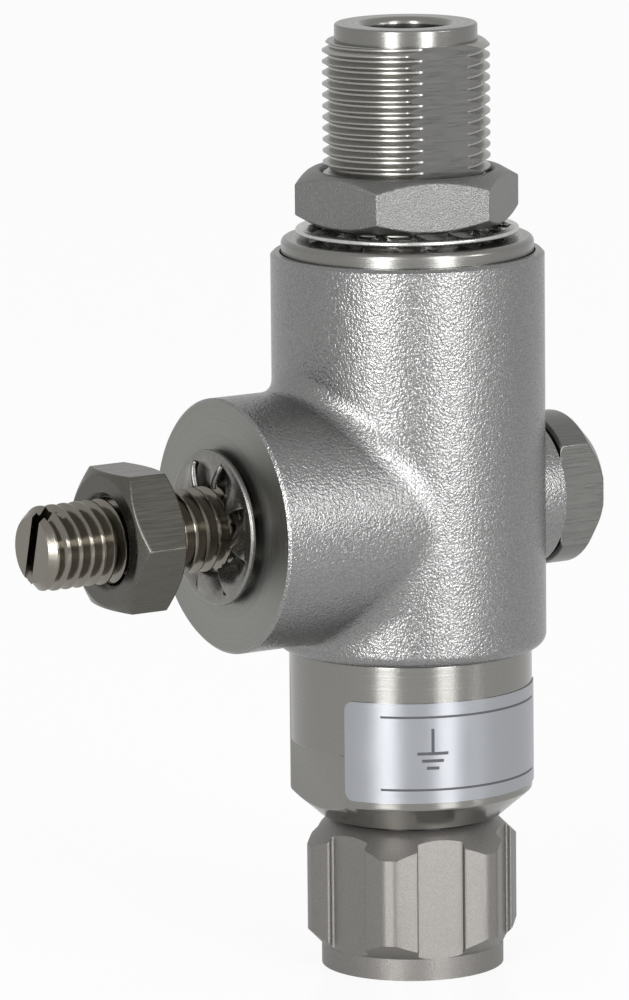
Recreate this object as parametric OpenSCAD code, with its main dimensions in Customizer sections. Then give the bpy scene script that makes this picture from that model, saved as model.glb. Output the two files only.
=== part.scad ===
// Coaxial lightning arrestor: a threaded jack on top, a swivel plug below, an earth
// stud on one side and a screw cap with a replaceable gas tube on the other.
// The coaxial line runs along Z from the plug mouth at Z = 0, and the earth stud
// points along -X. All sizes are in millimetres.

/* [Body] */
// Diameter of the upright barrel
body_d = 26; // [25:0.1:28]
// Height of the barrel
body_h = 38; // [34:0.1:46]
// Radius of the barrel's lower outside edge
body_edge_r = 1.2; // [0.4:0.1:1.4]
// Chamfer of the barrel's upper outside edge
body_rim_chamfer = 0.3; // [0.1:0.05:0.6]
// Height of the cross axis above the barrel's lower face
cross_height = 13.6; // [13.5:0.1:18]
// Diameter of the bore round the line
line_bore_d = 12; // [11:0.1:13]

/* [Earth boss] */
// Diameter of the side boss
boss_d = 24.2; // [20:0.1:24.4]
// Distance from the line axis to the boss face
boss_reach = 20.9; // [20:0.1:26]
// Chamfer round the boss face
boss_chamfer = 0.25; // [0.1:0.05:0.6]
// Radius of the blend between boss and barrel, above and below the boss
saddle_r = 2; // [0.6:0.1:2.4]
// Radius of the blend at the boss's sides, where the two surfaces nearly run together
saddle_side_r = 6; // [2:0.5:8]

/* [Earth stud] */
// Thread diameter of the stud
stud_d = 8; // [6:0.5:8.5]
// Thread pitch of the stud
stud_pitch = 1.25; // [0.75:0.05:1.5]
// Length of the stud outside the boss
stud_len = 20.6; // [18:0.1:28]
// Length of the stud screwed into the boss
stud_grip = 11; // [8:0.1:12]
// Length of the chamfer on the stud's end
stud_chamfer = 0.9; // [0.4:0.1:1.4]
// Width of the driver slot
stud_slot_w = 1.3; // [0.8:0.1:1.8]
// Depth of the driver slot
stud_slot_depth = 1.7; // [1:0.1:2.4]
// Lean of the driver slot from upright
stud_slot_lean = -15; // [-90:1:90]
// Width across flats of the earth nut
earth_nut_af = 13; // [12:0.5:16]
// Thickness of the earth nut
earth_nut_h = 5.3; // [4:0.1:6.5]
// Distance from the boss face to the earth nut
earth_nut_gap = 7.6; // [3:0.1:9]

/* [Earth washer] */
// Outside diameter of the toothed earth washer
earth_washer_d = 14.8; // [14:0.1:18]
// Radial width of its rim
earth_washer_rim = 1.5; // [1:0.1:1.8]
// Thickness of its sheet
earth_washer_t = 0.8; // [0.5:0.05:1]
// Number of its inner teeth
earth_washer_teeth = 8; // [6:1:9]
// Width of one tooth
earth_tooth_w = 2.7; // [1.8:0.1:2.9]
// Twist of each tooth
earth_tooth_twist = 25; // [10:1:30]

/* [Jack] */
// Outside diameter of the jack thread
jack_thread_d = 15.875; // [15:0.125:16.5]
// Thread pitch of the jack and of the coupling nut
jack_pitch = 1.058; // [0.8:0.002:1.3]
// Length of the thread above the collar
jack_thread_len = 18.7; // [15:0.1:26]
// Chamfer at the start of the thread
jack_thread_chamfer = 0.5; // [0.2:0.05:0.8]
// Diameter of the plain lip above the thread
jack_lip_d = 13.54; // [12:0.02:14]
// Height of the plain lip
jack_lip_h = 1.6; // [0.8:0.1:3]
// Distance from the axis to the flat milled along the thread
jack_flat = 6.85; // [6.6:0.05:7.4]
// Diameter of the collar
collar_d = 24; // [23:0.1:24.4]
// Height of the collar above the barrel
collar_h = 1.4; // [0.8:0.1:3]
// Depth of the collar's seat in the barrel
collar_seat = 0.6; // [0.3:0.1:1.2]
// Bore of the jack mouth
jack_mouth_d = 8.1; // [7.6:0.05:8.6]
// Depth of the jack mouth
jack_mouth_depth = 9.2; // [8:0.1:11]
// Distance from the mouth to the tip of the centre contact
jack_contact_depth = 4.4; // [4.2:0.1:6]
// Length of the spigot inside the barrel
jack_spigot_len = 7.5; // [5:0.1:9]

/* [Panel nut and washer] */
// Width across flats of the panel nut
panel_nut_af = 19; // [18.5:0.5:22]
// Thickness of the panel nut
panel_nut_h = 5.1; // [3:0.1:6]
// Turn of the panel nut about the axis
panel_nut_turn = -17.7; // [-30:0.1:30]
// Outside diameter of the toothed panel washer
panel_washer_d = 21.2; // [20:0.1:23]
// Radial width of its rim
panel_washer_rim = 1.4; // [0.8:0.1:1.6]
// Thickness of its sheet
panel_washer_t = 0.5; // [0.4:0.05:0.8]
// Number of its inner teeth
panel_washer_teeth = 16; // [12:1:18]
// Width of one tooth
panel_tooth_w = 2.3; // [1.6:0.1:2.4]
// Twist of each tooth
panel_tooth_twist = 20; // [10:1:35]

/* [Plug sleeve] */
// Diameter of the sleeve under the barrel
sleeve_d = 23.2; // [22.6:0.1:25]
// Length of the sleeve
sleeve_len = 16.3; // [14:0.1:24]
// Width across the two spanner flats
sleeve_flat_af = 21; // [20.4:0.1:22]
// Height of the spanner flats above the sleeve's lower end
sleeve_flat_h = 7.4; // [4:0.1:12]
// Diameter of the sleeve's lower end
sleeve_end_d = 17.4; // [16.6:0.1:18.6]
// Height of the cone at the sleeve's lower end
sleeve_cone_h = 2.5; // [1.5:0.1:3.5]
// Length of the spigot inside the barrel
sleeve_spigot_len = 6; // [4:0.1:7]
// Diameter of the neck that carries the coupling nut
neck_d = 13.8; // [13.4:0.1:14.2]
// Outside diameter of the slotted outer contact
outer_contact_d = 8; // [7.8:0.05:8.2]
// Width of the slots in the outer contact
outer_contact_slot = 0.4; // [0.2:0.05:0.6]

/* [Label] */
// Height of the label
label_h = 9.6; // [6:0.1:11]
// Height of the label's lower edge above the sleeve's lower end
label_lift = 3.2; // [2.8:0.1:4.5]
// Thickness of the label
label_t = 0.12; // [0.08:0.02:0.3]

/* [Coupling nut] */
// Height of the coupling nut
coupling_h = 14.45; // [13.6:0.05:18]
// Width across its flats
coupling_af = 18.6; // [17.8:0.1:19]
// Diameter over its turned corners
coupling_corner_d = 20.6; // [19.6:0.1:21]
// Diameter of the ring at its mouth
coupling_ring_d = 17.46; // [17.2:0.02:18]
// Height of the ring at its mouth
coupling_ring_h = 2.1; // [1:0.1:3]
// Height of the lower turned cone
coupling_low_cone = 1.6; // [0.6:0.1:2]
// Height of the upper turned cone
coupling_top_cone = 2.45; // [0.8:0.05:3]
// Width of the grip groove in each flat
grip_groove_w = 4.6; // [3:0.1:6]
// Depth of the grip groove
grip_groove_depth = 0.6; // [0.1:0.05:0.8]
// Turn of the coupling nut about the axis
coupling_turn = -15; // [-30:1:30]
// Bore of the plain mouth
coupling_mouth_d = 16.16; // [16:0.02:16.4]
// Depth of the plain mouth
coupling_mouth_depth = 2.1; // [1.6:0.1:2.8]
// Thickness of the lips on either side of the retaining ring
swivel_lip = 1.6; // [1.2:0.1:1.8]

/* [Screw cap] */
// Distance from the line axis to the port face
port_reach = 13.2; // [13.1:0.1:16]
// Diameter of the port boss
port_d = 14.4; // [14:0.1:15.6]
// Diameter of the cap's head
cap_d = 14.7; // [13:0.1:16]
// Width across the two flats of the cap's head
cap_af = 11; // [10:0.5:12.5]
// Chamfer round the outer end of the cap's head
cap_chamfer = 1.8; // [0.5:0.1:2.5]
// Length of the cap's head
cap_head_h = 5; // [3.5:0.1:7]
// Diameter of the cap's shank
cap_shank_d = 10; // [9.7:0.1:10.6]
// Length of the cap's shank
cap_shank_len = 6; // [5:0.1:6.4]
// Wall at the bottom of the cap's pocket, from the head's inner face
cap_floor = 1.2; // [0.6:0.1:2]
// Radial width of the sealing ring under the head
cap_seal_w = 1.055; // [0.6:0.005:1.5]
// Thickness of the sealing ring under the head
cap_seal_t = 0.35; // [0.25:0.05:0.8]

/* [Gas tube] */
// Diameter of the gas tube
tube_d = 7.6; // [7:0.1:8.2]
// Length of the ceramic
tube_ceramic_len = 4.2; // [3:0.1:4.6]
// Wall of the ceramic
tube_wall = 1; // [0.6:0.1:1.4]
// Thickness of each electrode's flange
tube_flange_t = 0.5; // [0.3:0.1:0.8]
// Diameter of each electrode's face
tube_face_d = 6.4; // [5:0.1:6.6]
// Height of each electrode's face above its flange
tube_face_h = 1; // [0.5:0.1:1.2]
// Wire of the spring behind the tube
spring_wire = 0.5; // [0.4:0.05:0.6]
// Diameter of the spring at the middle of its wire
spring_d = 5; // [4:0.1:5.6]
// Turns of the spring
spring_turns = 3; // [2:0.5:3]

/* [Line] */
// Diameter of the line conductor between the contacts
line_d = 5.2; // [4.6:0.1:5.6]
// Bore of the jack and of the sleeve round the contacts
coax_bore_d = 7; // [6.6:0.05:7.2]
// Diameter of the centre contacts
contact_d = 3.04; // [2.8:0.02:3.2]
// Diameter of the plug's pin
pin_d = 1.65; // [1.5:0.01:1.7]
// Length of each insulating bead
bead_len = 6; // [4:0.1:7]

/* [Fits] */
// Radial clearance of nuts and of the cap on their threads
thread_clearance = 0.06; // [0.03:0.01:0.1]
// Radial relief of a thread's crests where the arrestor's own nut sits on it
thread_relief = 0.2; // [0.18:0.01:0.3]
// Radial clearance of the swivel
swivel_clearance = 0.08; // [0.05:0.01:0.1]
// Radial clearance of the gas tube in the cap's pocket
tube_clearance = 0.15; // [0.1:0.01:0.25]
// Radial clearance between pieces that are fixed together
seat_clearance = 0.05; // [0.02:0.01:0.1]
// Gap between faces that turn or part
face_gap = 0.05; // [0.02:0.01:0.1]

/* [Hidden] */
$fn = 96;
steel = [0.72, 0.71, 0.68];
nickel = [0.78, 0.76, 0.72];
blasted = [0.74, 0.74, 0.73];
stainless = [0.52, 0.50, 0.46];
ptfe = [0.93, 0.93, 0.90];
gold = [0.86, 0.70, 0.36];
far = 100;
cut = 0.01;
// Radial depth of a 60 degree thread for one millimetre of pitch
thread_depth_ratio = 0.613;
// Width of its crest for one millimetre of pitch
thread_crest_ratio = 0.125;
thread_flank_angle = 30;
nut_chamfer_angle = 30;
nut_face_ratio = 0.95;

body_r = body_d / 2;
boss_r = boss_d / 2;
stud_r = stud_d / 2;
stud_grip_r = stud_r - stud_pitch * thread_depth_ratio / 2;
stud_minor_r = stud_r - stud_pitch * thread_depth_ratio;
jack_r = jack_thread_d / 2;
jack_minor_r = jack_r - jack_pitch * thread_depth_ratio;
spigot_d = 15.4;
spigot_r = spigot_d / 2;
socket_r = spigot_r + seat_clearance;
coax_r = coax_bore_d / 2;
contact_r = contact_d / 2;
line_r = line_d / 2;
neck_r = neck_d / 2;

swivel_gap = 0.3;
sleeve_z = coupling_h + swivel_gap;
body_z = sleeve_z + sleeve_len;
body_top = body_z + body_h;
cross_z = body_z + cross_height;
collar_top = body_top + collar_h;
seat_z = body_top - collar_seat;
thread_top = collar_top + jack_thread_len;
jack_top = thread_top + jack_lip_h;
jack_bottom = seat_z - jack_spigot_len;
panel_washer_h = toothed_height(panel_tooth_w, panel_washer_t, panel_tooth_twist);
panel_nut_z = collar_top + panel_washer_h + 2 * face_gap;
jack_free_z = panel_nut_z + panel_nut_h + face_gap;
earth_washer_h = toothed_height(earth_tooth_w, earth_washer_t, earth_tooth_twist);
earth_nut_end = earth_nut_gap + earth_nut_h;

ring_t = 0.8;
ring_gap_angle = 40;
groove_top = coupling_h - swivel_lip;
groove_bottom = groove_top - ring_t - 4 * face_gap;
nut_shoulder = groove_bottom - swivel_lip;
ring_z = groove_bottom + 2 * face_gap;
ring_reach = 0.75;
ring_bite = 0.6;
gasket_t = 1.1;
plug_shoulder_rise = 1;
contact_setback = 0.5;
contact_slot_margin = 0.4;
pin_setback = 0.6;
pin_shoulder_rise = 0.6;
plug_shoulder = nut_shoulder - plug_shoulder_rise;
contact_end = coupling_mouth_depth + contact_setback;
contact_slot_top = plug_shoulder - gasket_t - contact_slot_margin;
pin_tip = contact_end + pin_setback;
pin_step = plug_shoulder + pin_shoulder_rise;
line_socket = 3;
line_gap = 1;
line_low = body_z + sleeve_spigot_len + line_gap;
line_high = jack_bottom - line_gap;
line_step = line_socket - face_gap;

head_x = port_reach + cap_seal_t + 2 * face_gap;
cap_shank_end = head_x - cap_shank_len;
cap_r = cap_d / 2;
pocket_r = tube_d / 2 + tube_clearance;
pocket_x = head_x - cap_floor;
line_notch = 0.3;
tube_x = line_r - line_notch;
inner_flange_x = tube_x + tube_face_h;
ceramic_x = inner_flange_x + tube_flange_t;
outer_flange_x = ceramic_x + tube_ceramic_len;
tube_end = outer_flange_x + tube_flange_t + tube_face_h;

saddle_steps = 60;
saddle_arc = 6;
saddle_root = 0.5;
saddle_proud = 0.02;
spring_steps = 14;
spring_sides = 8;

// Shared shapes

// Height over the twisted teeth of a lock washer
function toothed_height(tooth_w, t, twist) = tooth_w * sin(twist) + t * cos(twist);

// Outline of a thread, drawn as rings one pitch apart, down from a crest that ends at the
// height top_z. Below the height free_z, where a nut sits, the crests are relieved.
function thread_outline(r, pitch, low_z, free_z, top_z) =
    let (depth = pitch * thread_depth_ratio, crest_w = pitch * thread_crest_ratio,
         flank = depth * tan(thread_flank_angle),
         turns = floor((top_z - low_z - crest_w - flank) / pitch))
        [for (i = [turns : -1 : 0])
            let (end = top_z - i * pitch, start = end - crest_w,
                 crest_r = start < free_z ? r - thread_relief : r)
                each [[r - depth, start - flank], [crest_r, start], [crest_r, end],
                      if (i > 0) [r - depth, end + flank]]];

module along_x(x) {
    translate([x, 0, cross_z]) rotate([0, 90, 0]) children();
}

module against_x(x) {
    translate([x, 0, cross_z]) rotate([0, -90, 0]) children();
}

module ring(outer_r, inner_r, h) {
    difference() {
        cylinder(r = outer_r, h = h);
        translate([0, 0, -cut]) cylinder(r = inner_r, h = h + 2 * cut);
    }
}

// Hexagon with both ends turned to a thirty degree chamfer
module hexagon(af, h) {
    corner_r = af / 2 / cos(30);
    face_r = nut_face_ratio * af / 2;
    drop = (corner_r - face_r) * tan(nut_chamfer_angle);
    intersection() {
        cylinder(r = corner_r, h = h, $fn = 6);
        rotate_extrude() polygon([[0, 0], [face_r, 0], [corner_r, drop],
                                  [corner_r, h - drop], [face_r, h], [0, h]]);
    }
}

module hexagon_nut(af, h, bore_r, entry) {
    difference() {
        hexagon(af, h);
        translate([0, 0, -cut]) cylinder(r = bore_r, h = h + 2 * cut);
        translate([0, 0, -cut]) cylinder(r1 = bore_r + entry, r2 = bore_r, h = entry);
        translate([0, 0, h - entry + cut]) cylinder(r1 = bore_r, r2 = bore_r + entry, h = entry);
    }
}

// Lock washer with inner teeth that are twisted about their own radius
module toothed_washer(outer_r, rim, tip_r, t, teeth, tooth_w, twist) {
    root_r = outer_r - rim;
    tooth_len = root_r - tip_r + rim / 2;
    mid = toothed_height(tooth_w, t, twist) / 2;
    union() {
        translate([0, 0, mid - t / 2]) ring(outer_r, root_r, t);
        for (i = [0 : teeth - 1])
            rotate([0, 0, i * 360 / teeth])
                translate([tip_r + tooth_len / 2, 0, mid])
                    rotate([twist, 0, 0])
                        cube([tooth_len, tooth_w, t], center = true);
    }
}

// Quads of a tube of closed sections, cut into triangles
function strip_faces(sections, points, closed) = [
    for (i = [0 : sections - (closed ? 1 : 2)], j = [0 : points - 1])
        let (a = i * points, b = ((i + 1) % sections) * points, k = (j + 1) % points)
            each [[a + j, a + k, b + k], [a + j, b + k, b + j]]];

// Main body

function unit(v) = v / norm(v);

// The blend shrinks where the barrel's lower edge leaves it less room
function blend_r(a) =
    let (r = saddle_r + (saddle_side_r - saddle_r) * pow(cos(a), 4))
        sin(a) < 0 ? max(0.1, min(r, (cross_height - body_edge_r) / -sin(a) - boss_r)) : r;

// Centre of the ball that rolls between boss and barrel
function ball_centre(a, r) =
    let (y = (boss_r + r) * cos(a))
        [-sqrt(pow(body_r + r, 2) - y * y), y, (boss_r + r) * sin(a)];

function saddle_section(a) =
    let (r = blend_r(a), c = ball_centre(a, r),
         to_boss = unit([0, -c.y, -c.z]), to_body = unit([-c.x, -c.y, 0]),
         both = to_boss + to_body)
        [c + (r + saddle_root) * to_boss,
         for (i = [0 : saddle_arc])
             let (t = i / saddle_arc)
                 c + (r - saddle_proud) * unit(to_boss * (1 - t) + to_body * t),
         c + (r + saddle_root) * to_body,
         c + (r + saddle_root) * 2 * both / pow(norm(both), 2)];

module saddle() {
    sections = [for (i = [0 : saddle_steps - 1]) saddle_section(i * 360 / saddle_steps)];
    translate([0, 0, cross_z])
        polyhedron(points = [for (s = sections) each s],
                   faces = strip_faces(saddle_steps, len(sections[0]), true));
}

module barrel() {
    translate([0, 0, body_z]) rotate_extrude() {
        translate([0, body_edge_r]) square([body_r, body_h - body_edge_r - body_rim_chamfer]);
        square([body_r - body_edge_r, body_edge_r]);
        translate([body_r - body_edge_r, body_edge_r]) intersection() {
            circle(r = body_edge_r);
            translate([0, -body_edge_r]) square([body_edge_r, body_edge_r]);
        }
        translate([0, body_h - body_rim_chamfer])
            polygon([[0, 0], [body_r, 0], [body_r - body_rim_chamfer, body_rim_chamfer],
                     [0, body_rim_chamfer]]);
    }
}

module boss() {
    against_x(0) rotate_extrude()
        polygon([[0, 0], [boss_r, 0], [boss_r, boss_reach - boss_chamfer],
                 [boss_r - boss_chamfer, boss_reach], [0, boss_reach]]);
}

module main_body() {
    color(blasted) difference() {
        union() {
            barrel();
            boss();
            saddle();
            along_x(0) cylinder(d = port_d, h = port_reach);
        }
        translate([0, 0, body_z - cut]) cylinder(d = line_bore_d, h = body_h);
        translate([0, 0, body_z - cut]) cylinder(r = socket_r, h = sleeve_spigot_len + cut);
        translate([0, 0, jack_bottom]) cylinder(r = socket_r, h = far);
        translate([0, 0, seat_z]) cylinder(r = collar_d / 2 + 3 * seat_clearance, h = far);
        against_x(-boss_reach + stud_grip)
            cylinder(r = stud_grip_r + seat_clearance, h = far);
        along_x(0) cylinder(r = cap_shank_d / 2 + thread_clearance, h = far);
        // Spot face that clears the cap wherever the port lies below the barrel's side
        along_x(port_reach)
            cylinder(r = max(port_d / 2, cap_r) + 2 * thread_clearance, h = far);
    }
}

// Jack

module jack_shell() {
    lip_r = jack_lip_d / 2;
    mouth_r = jack_mouth_d / 2;
    collar_r = collar_d / 2;
    edge = 0.25;
    entry = 0.3;
    color(nickel) difference() {
        rotate_extrude()
            polygon([[coax_r, jack_bottom], [spigot_r, jack_bottom], [spigot_r, seat_z],
                     [collar_r, seat_z], [collar_r, collar_top - edge],
                     [collar_r - edge, collar_top], [jack_minor_r, collar_top],
                     each thread_outline(jack_r, jack_pitch, collar_top, jack_free_z,
                                         thread_top - jack_thread_chamfer),
                     [jack_r - jack_thread_chamfer, thread_top], [lip_r, thread_top],
                     [lip_r, jack_top - edge], [lip_r - edge, jack_top],
                     [mouth_r + entry, jack_top], [mouth_r, jack_top - entry],
                     [mouth_r, jack_top - jack_mouth_depth],
                     [coax_r, jack_top - jack_mouth_depth]]);
        translate([-far / 2, -far - jack_flat, collar_top])
            cube([far, far, jack_thread_len]);
    }
}

module jack_insulator() {
    color(ptfe) translate([0, 0, collar_top])
        ring(coax_r - seat_clearance, contact_r + seat_clearance, bead_len);
}

module jack_contact() {
    tip = jack_top - jack_contact_depth;
    slot_w = 0.35;
    slot_depth = 4.5;
    bore_depth = 5.5;
    entry = 0.25;
    color(gold) difference() {
        translate([0, 0, line_high - line_step])
            cylinder(r = contact_r, h = tip - line_high + line_step);
        translate([0, 0, tip - bore_depth]) cylinder(d = pin_d, h = far);
        translate([0, 0, tip - entry])
            cylinder(d1 = pin_d, d2 = pin_d + 2 * entry + 2 * cut, h = entry + cut);
        for (a = [0, 90])
            rotate([0, 0, a]) translate([-slot_w / 2, -far / 2, tip - slot_depth])
                cube([slot_w, far, far]);
    }
}

module panel_washer() {
    color(steel) translate([0, 0, collar_top + face_gap])
        toothed_washer(panel_washer_d / 2, panel_washer_rim,
                       jack_r + 3 * thread_clearance, panel_washer_t, panel_washer_teeth,
                       panel_tooth_w, panel_tooth_twist);
}

module panel_nut() {
    color(nickel) translate([0, 0, panel_nut_z]) rotate([0, 0, panel_nut_turn])
        hexagon_nut(panel_nut_af, panel_nut_h, jack_r + thread_clearance, jack_pitch / 3);
}

// Line

module line_conductor() {
    socket = contact_r + seat_clearance;
    color(gold) difference() {
        translate([0, 0, line_low]) cylinder(r = line_r, h = line_high - line_low);
        translate([0, 0, line_low - cut]) cylinder(r = socket, h = line_socket + cut);
        translate([0, 0, line_high - line_socket]) cylinder(r = socket, h = far);
        along_x(tube_x - face_gap) cylinder(r = pocket_r, h = far);
    }
}

// Plug

module plug_body() {
    sleeve_r = sleeve_d / 2;
    outer_r = outer_contact_d / 2;
    ring_r = neck_r - ring_bite;
    spigot_top = body_z + sleeve_spigot_len;
    color(nickel) difference() {
        rotate_extrude()
            polygon([[coax_r, contact_end], [outer_r, contact_end], [outer_r, plug_shoulder],
                     [neck_r, plug_shoulder], [neck_r, ring_z - face_gap],
                     [ring_r, ring_z - face_gap], [ring_r, ring_z + ring_t + face_gap],
                     [neck_r, ring_z + ring_t + face_gap], [neck_r, sleeve_z],
                     [sleeve_end_d / 2, sleeve_z], [sleeve_r, sleeve_z + sleeve_cone_h],
                     [sleeve_r, body_z], [spigot_r, body_z], [spigot_r, spigot_top],
                     [coax_r, spigot_top]]);
        for (side = [0, 180])
            rotate([0, 0, side])
                translate([sleeve_flat_af / 2, -far / 2, sleeve_z - cut])
                    cube([far, far, sleeve_flat_h + cut]);
        for (a = [0, 60, 120])
            rotate([0, 0, a])
                translate([-outer_contact_slot / 2, -neck_r, contact_end - cut])
                    cube([outer_contact_slot, neck_d, contact_slot_top - contact_end]);
    }
}

module plug_insulator() {
    color(ptfe) translate([0, 0, sleeve_z + sleeve_cone_h])
        ring(coax_r - seat_clearance, contact_r + seat_clearance, bead_len);
}

module plug_pin() {
    pin_r = pin_d / 2;
    point = 0.5;
    top = line_low + line_step;
    color(gold) rotate_extrude()
        polygon([[0, pin_tip], [pin_r - point, pin_tip], [pin_r, pin_tip + point],
                 [pin_r, pin_step], [contact_r, pin_step], [contact_r, top], [0, top]]);
}

module plug_gasket() {
    color([0.62, 0.2, 0.14]) translate([0, 0, plug_shoulder - gasket_t])
        ring(neck_r - seat_clearance, outer_contact_d / 2 + seat_clearance, gasket_t);
}

module retaining_ring() {
    ring_r = neck_r - ring_bite + seat_clearance;
    color(steel) translate([0, 0, ring_z])
        rotate([0, 0, ring_gap_angle / 2])
            rotate_extrude(angle = 360 - ring_gap_angle)
                translate([ring_r, 0]) square([neck_r + ring_reach - ring_r, ring_t]);
}

module rating_label() {
    inner_r = sleeve_d / 2 + seat_clearance / 2;
    flat_angle = sleeve_flat_af < sleeve_d ? acos(sleeve_flat_af / sleeve_d) : 0;
    margin = 0.6;
    span = 180 - 2 * flat_angle - 2 * margin;
    color([0.70, 0.71, 0.74]) translate([0, 0, sleeve_z + label_lift])
        rotate([0, 0, -90 - span / 2])
            rotate_extrude(angle = span) translate([inner_r, 0]) square([label_t, label_h]);
}

module coupling_nut() {
    corner_r = coupling_corner_d / 2;
    ring_r = coupling_ring_d / 2;
    flat = coupling_af / 2;
    top_r = corner_r - coupling_top_cone;
    cone_z = coupling_ring_h + coupling_low_cone;
    top_z = coupling_h - coupling_top_cone;
    neck_bore = neck_r + swivel_clearance;
    groove_r = neck_r + ring_reach + 2 * swivel_clearance;
    color(nickel) rotate([0, 0, coupling_turn]) difference() {
        intersection() {
            rotate_extrude()
                polygon([[0, 0], [ring_r, 0], [ring_r, coupling_ring_h], [corner_r, cone_z],
                         [corner_r, top_z], [top_r, coupling_h], [0, coupling_h]]);
            union() {
                cylinder(r = ring_r, h = coupling_ring_h);
                translate([0, 0, coupling_ring_h])
                    cylinder(r = flat / cos(30), h = coupling_h, $fn = 6);
            }
        }
        for (i = [0 : 5])
            rotate([0, 0, 30 + i * 60])
                translate([flat - grip_groove_depth, -grip_groove_w / 2, coupling_ring_h])
                    cube([far, grip_groove_w, coupling_h]);
        translate([0, 0, -cut]) cylinder(d = coupling_mouth_d, h = coupling_mouth_depth + cut);
        cylinder(r = jack_minor_r, h = nut_shoulder);
        cylinder(r = neck_bore, h = far);
        translate([0, 0, groove_bottom]) cylinder(r = groove_r, h = groove_top - groove_bottom);
    }
}

// Earth stud, washer and nut

module earth_stud() {
    tip_r = stud_r - stud_chamfer;
    color(stainless) difference() {
        against_x(-boss_reach) rotate_extrude()
            polygon([[0, -stud_grip], [stud_grip_r, -stud_grip], [stud_grip_r, 0],
                     [stud_minor_r, 0],
                     each thread_outline(stud_r, stud_pitch, 0, earth_nut_end + face_gap,
                                         stud_len - stud_chamfer),
                     [tip_r, stud_len], [0, stud_len]]);
        against_x(-boss_reach - stud_len + stud_slot_depth)
            rotate([0, 0, stud_slot_lean])
                translate([-far / 2, -stud_slot_w / 2, 0]) cube([far, stud_slot_w, far]);
    }
}

module earth_washer() {
    color(steel) against_x(-boss_reach - face_gap)
        toothed_washer(earth_washer_d / 2, earth_washer_rim, stud_r + 3 * thread_clearance,
                       earth_washer_t, earth_washer_teeth, earth_tooth_w, earth_tooth_twist);
}

module earth_nut() {
    color(stainless) against_x(-boss_reach - earth_nut_gap) rotate([0, 0, 30])
        hexagon_nut(earth_nut_af, earth_nut_h, stud_r + thread_clearance, stud_pitch / 2);
}

// Screw cap and gas tube

// Round head with a bevelled end and two spanner flats
module cap_head() {
    edge = 0.3;
    intersection() {
        rotate_extrude()
            polygon([[0, 0], [cap_r - edge, 0], [cap_r, edge], [cap_r, cap_head_h - cap_chamfer],
                     [cap_r - cap_chamfer, cap_head_h], [0, cap_head_h]]);
        translate([-far / 2, -cap_af / 2, -cut]) cube([far, cap_af, far]);
    }
}

module tube_cap() {
    color(stainless) difference() {
        union() {
            along_x(head_x) cap_head();
            along_x(cap_shank_end) cylinder(d = cap_shank_d, h = cap_shank_len + cut);
        }
        along_x(cap_shank_end - cut) cylinder(r = pocket_r, h = pocket_x - cap_shank_end + cut);
    }
}

module cap_seal() {
    color([0.12, 0.12, 0.12]) along_x(port_reach + face_gap)
        ring(cap_shank_d / 2 + 2 * thread_clearance + cap_seal_w,
             cap_shank_d / 2 + 2 * thread_clearance, cap_seal_t);
}

// Compression spring, swept round the cross axis from the tube to the pocket's floor
module cap_spring() {
    wire_r = spring_wire / 2;
    low = tube_end + wire_r + face_gap;
    rise = pocket_x - wire_r - face_gap - low;
    rings = spring_turns * spring_steps + 1;
    points = [for (i = [0 : rings - 1], j = [0 : spring_sides - 1])
        let (t = i / (rings - 1), a = t * spring_turns * 360, b = j * 360 / spring_sides,
             r = spring_d / 2 + wire_r * cos(b))
            [r * cos(a), r * sin(a), low + t * rise + wire_r * sin(b)]];
    last = (rings - 1) * spring_sides;
    caps = [[for (j = [0 : spring_sides - 1]) spring_sides - 1 - j],
            [for (j = [0 : spring_sides - 1]) last + j]];
    color(steel) along_x(0) polyhedron(points = points,
        faces = concat(strip_faces(rings, spring_sides, false), caps));
}

module tube_ceramic() {
    color([0.92, 0.90, 0.84]) along_x(ceramic_x)
        ring(tube_d / 2, tube_d / 2 - tube_wall, tube_ceramic_len);
}

module electrode() {
    spike_r = tube_face_d / 2 - tube_wall;
    spike_len = 0.35 * tube_ceramic_len;
    union() {
        cylinder(d = tube_d, h = tube_flange_t);
        translate([0, 0, -tube_face_h]) cylinder(d = tube_face_d, h = tube_face_h + cut);
        translate([0, 0, tube_flange_t - cut]) cylinder(r = spike_r, h = spike_len);
    }
}

module tube_inner_electrode() {
    color(steel) along_x(inner_flange_x) electrode();
}

module tube_outer_electrode() {
    color(steel) against_x(outer_flange_x + tube_flange_t) electrode();
}

main_body();
jack_shell();
jack_insulator();
jack_contact();
panel_washer();
panel_nut();
line_conductor();
plug_body();
plug_insulator();
plug_pin();
plug_gasket();
coupling_nut();
retaining_ring();
rating_label();
earth_stud();
earth_washer();
earth_nut();
tube_cap();
cap_seal();
cap_spring();
tube_ceramic();
tube_inner_electrode();
tube_outer_electrode();
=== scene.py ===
# %% [markdown]
# # A coaxial lightning arrestor
# A coaxial line runs upright through a blasted metal body. A threaded jack is on top, a plug with a
# swivel nut is below, an earth stud is on the left, and on the right a screw cap holds a gas tube.
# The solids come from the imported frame. This lesson gives them threads, twisted teeth, soft edges and
# real finishes, and lights them as in a small studio.

# %% Load the solids
import math

import bpy
from mathutils import Matrix, Vector


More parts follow.
